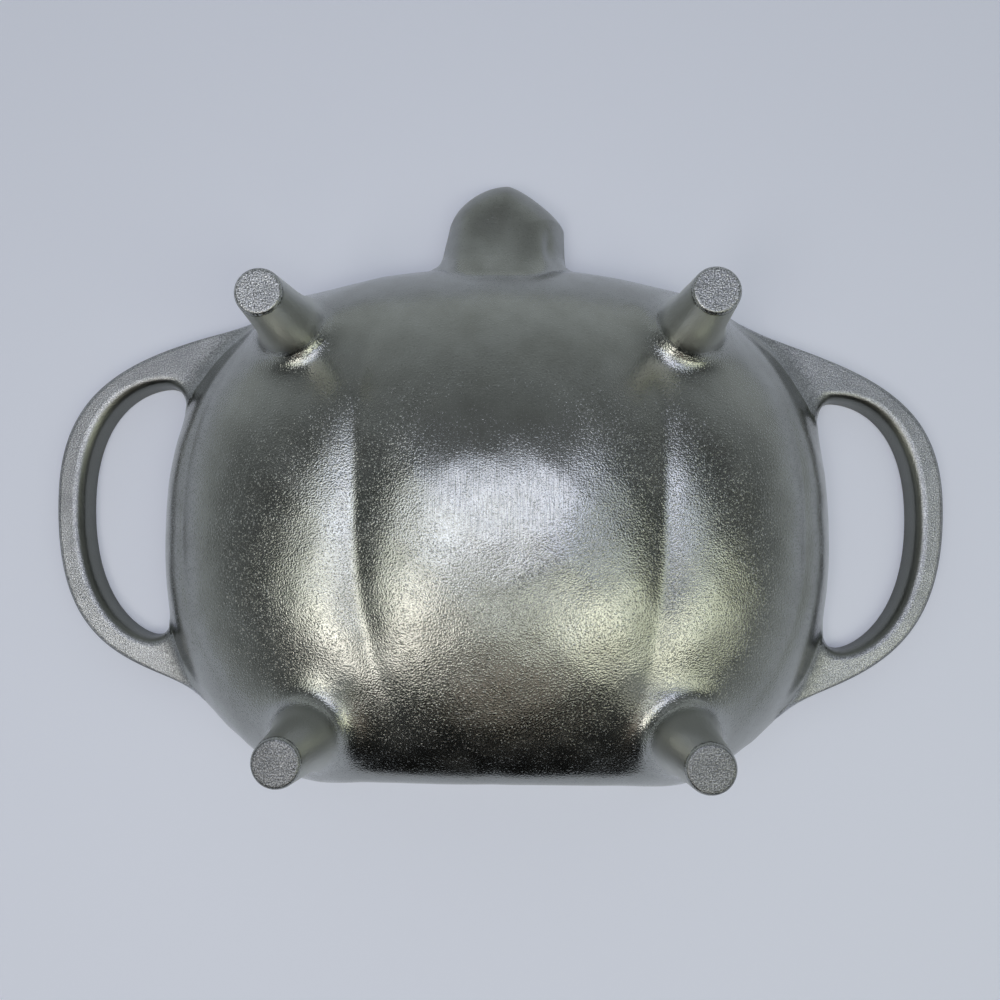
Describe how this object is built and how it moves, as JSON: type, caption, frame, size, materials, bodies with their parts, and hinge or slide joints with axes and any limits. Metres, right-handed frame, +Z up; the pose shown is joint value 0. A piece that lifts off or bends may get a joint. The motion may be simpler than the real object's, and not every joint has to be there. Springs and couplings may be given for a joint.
{
  "type": "shaped cake pan",
  "caption": "Pumpkin-shaped cast cake pan: a lobed domed bowl with a hollow stem cup, loop handles level with the rim, and peg legs that hold it level.",
  "frame": {"origin": "middle of the outline, handles and stem included, on the rim plane", "axes": "+X along the handles, to the right as pictured; +Y towards the stem; +Z up out of the dome, along the legs. The pan lies on its rim, upside down to its use in baking"},
  "size_m": [0.3606, 0.2478, 0.076],
  "materials": {
    "bowl_metal": "bare cast aluminium with a fine orange-peel grain, brushed bright on the flat at the dome's middle",
    "stem_metal": "bare cast aluminium, smooth and slightly dull",
    "handle_metal": "bare cast aluminium, its flat top ground matt and speckled",
    "leg_metal": "bare cast aluminium, its tip ground flat, matt and speckled"
  },
  "bodies": {
    "root": {"bowl": "bowl_metal", "stem_cup": "stem_metal", "left_handle": "handle_metal", "right_handle": "handle_metal", "upper_left_leg": "leg_metal", "upper_right_leg": "leg_metal", "lower_left_leg": "leg_metal", "lower_right_leg": "leg_metal"}
  },
  "joints": []
}
